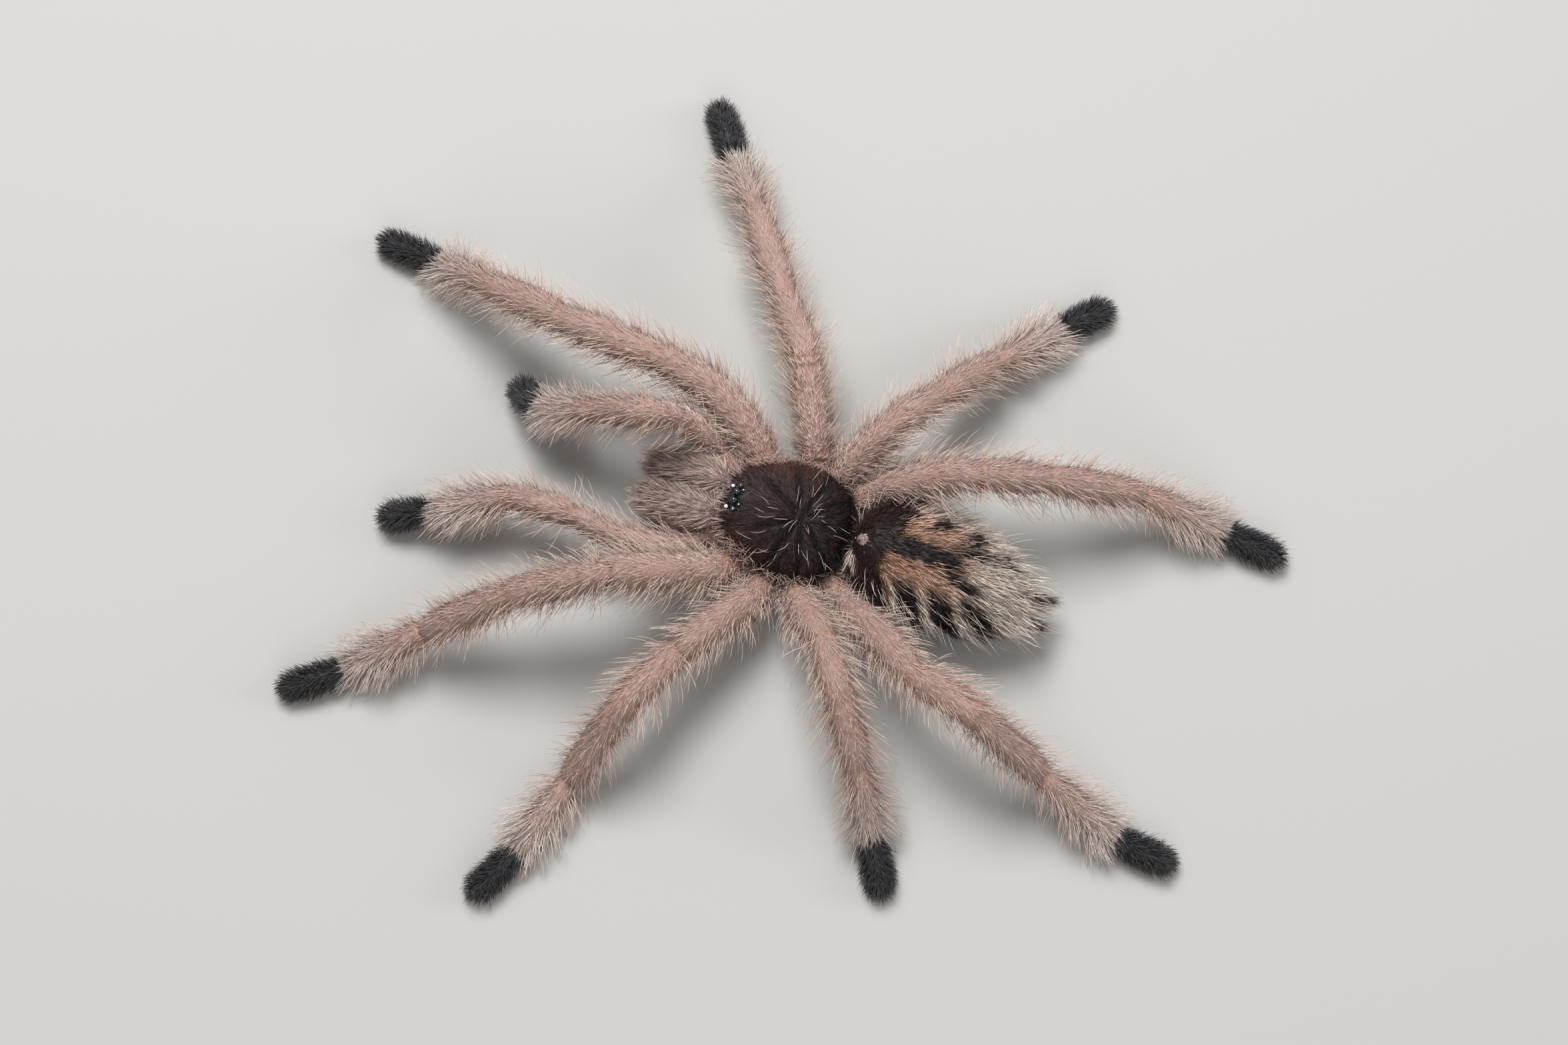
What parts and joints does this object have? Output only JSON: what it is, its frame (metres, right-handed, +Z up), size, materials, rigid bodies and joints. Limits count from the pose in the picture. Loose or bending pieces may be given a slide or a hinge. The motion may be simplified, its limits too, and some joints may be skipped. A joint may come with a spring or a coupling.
{
  "type": "pink toe tarantula spiderling",
  "caption": "Life-size still model of a young pink toe tarantula, standing with legs spread, with dusty pink legs, black toes and a striped abdomen.",
  "frame": {"origin": "on the floor, under the middle of the spider's box", "axes": "+Z up; the head points to -Y and the spider's left side is at +X"},
  "size_m": [0.0362, 0.0408, 0.0064],
  "materials": {
    "leg_coat": "dusty pink skin under fine pale-tipped hairs",
    "toe_coat": "slate black velvety hair pads",
    "carapace": "brown-black shell with fine dark fuzz and sparse white hairs",
    "head_coat": "grey-mauve hair with pale tips",
    "abdomen_coat": "orange-tan to cream hair with black tiger bars and a black middle band",
    "underside": "brown skin with short hair",
    "spinneret": "dark brown skin with short pale hairs",
    "eye": "wet glossy black",
    "fang": "polished black with a red-brown tip"
  },
  "bodies": {
    "root": {"abdomen": "abdomen_coat", "carapace": "carapace", "chelicera_L": "head_coat", "chelicera_R": "head_coat", "eye_anterior_lateral_L": "eye", "eye_anterior_lateral_R": "eye", "eye_anterior_median_L": "eye", "eye_anterior_median_R": "eye", "eye_posterior_lateral_L": "eye", "eye_posterior_lateral_R": "eye", "eye_posterior_median_L": "eye", "eye_posterior_median_R": "eye", "fang_L": "fang", "fang_R": "fang", "leg_1_L_femur": "leg_coat", "leg_1_L_metatarsus": "leg_coat", "leg_1_L_tarsus": "toe_coat", "leg_1_L_tibia": "leg_coat", "leg_1_R_femur": "leg_coat", "leg_1_R_metatarsus": "leg_coat", "leg_1_R_tarsus": "toe_coat", "leg_1_R_tibia": "leg_coat", "leg_2_L_femur": "leg_coat", "leg_2_L_metatarsus": "leg_coat", "leg_2_L_tarsus": "toe_coat", "leg_2_L_tibia": "leg_coat", "leg_2_R_femur": "leg_coat", "leg_2_R_metatarsus": "leg_coat", "leg_2_R_tarsus": "toe_coat", "leg_2_R_tibia": "leg_coat", "leg_3_L_femur": "leg_coat", "leg_3_L_metatarsus": "leg_coat", "leg_3_L_tarsus": "toe_coat", "leg_3_L_tibia": "leg_coat", "leg_3_R_femur": "leg_coat", "leg_3_R_metatarsus": "leg_coat", "leg_3_R_tarsus": "toe_coat", "leg_3_R_tibia": "leg_coat", "leg_4_L_femur": "leg_coat", "leg_4_L_metatarsus": "leg_coat", "leg_4_L_tarsus": "toe_coat", "leg_4_L_tibia": "leg_coat", "leg_4_R_femur": "leg_coat", "leg_4_R_metatarsus": "leg_coat", "leg_4_R_tarsus": "toe_coat", "leg_4_R_tibia": "leg_coat", "median_spinneret_L": "spinneret", "median_spinneret_R": "spinneret", "palp_L_femur": "leg_coat", "palp_L_patella": "leg_coat", "palp_L_tarsus": "toe_coat", "palp_L_tibia": "leg_coat", "palp_R_femur": "leg_coat", "palp_R_patella": "leg_coat", "palp_R_tarsus": "toe_coat", "palp_R_tibia": "leg_coat", "pedicel": "underside", "spinneret_L": "spinneret", "spinneret_R": "spinneret", "sternum": "underside"}
  },
  "joints": []
}
